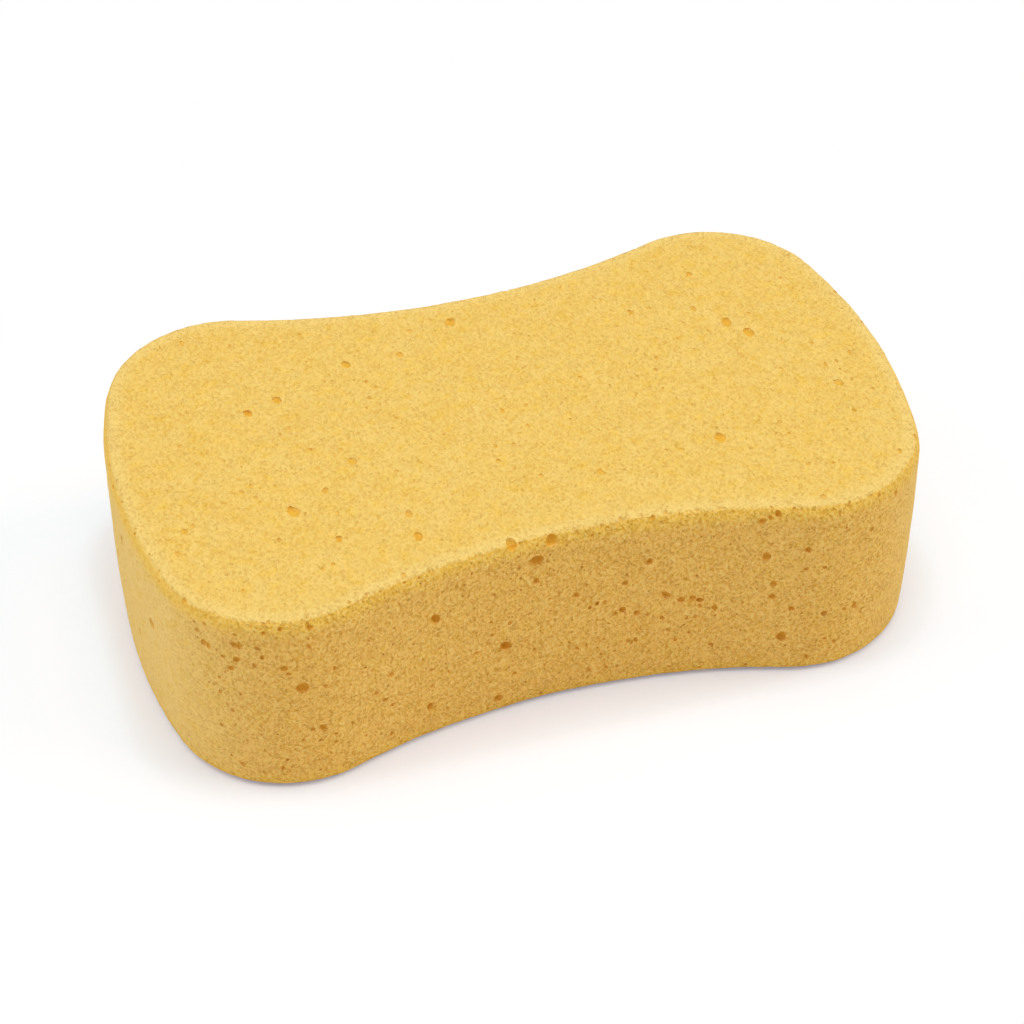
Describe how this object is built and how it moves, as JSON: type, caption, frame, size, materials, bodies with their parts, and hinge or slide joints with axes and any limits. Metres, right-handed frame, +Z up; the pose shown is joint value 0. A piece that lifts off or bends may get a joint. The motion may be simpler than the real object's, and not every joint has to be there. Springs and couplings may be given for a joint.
{
  "type": "cleaning sponge",
  "caption": "Waisted block of yellow open-celled foam with rounded edges and scattered bubbles, held in one hand to wash and wipe.",
  "frame": {"origin": "middle of the flat underside that the block rests on", "axes": "+X along the block's length, +Y across its width, +Z up through its thickness"},
  "size_m": [0.22, 0.13, 0.0605],
  "materials": {
    "foam": "matte open-celled foam, warm yellow"
  },
  "bodies": {
    "root": {"sponge": "foam"}
  },
  "joints": []
}
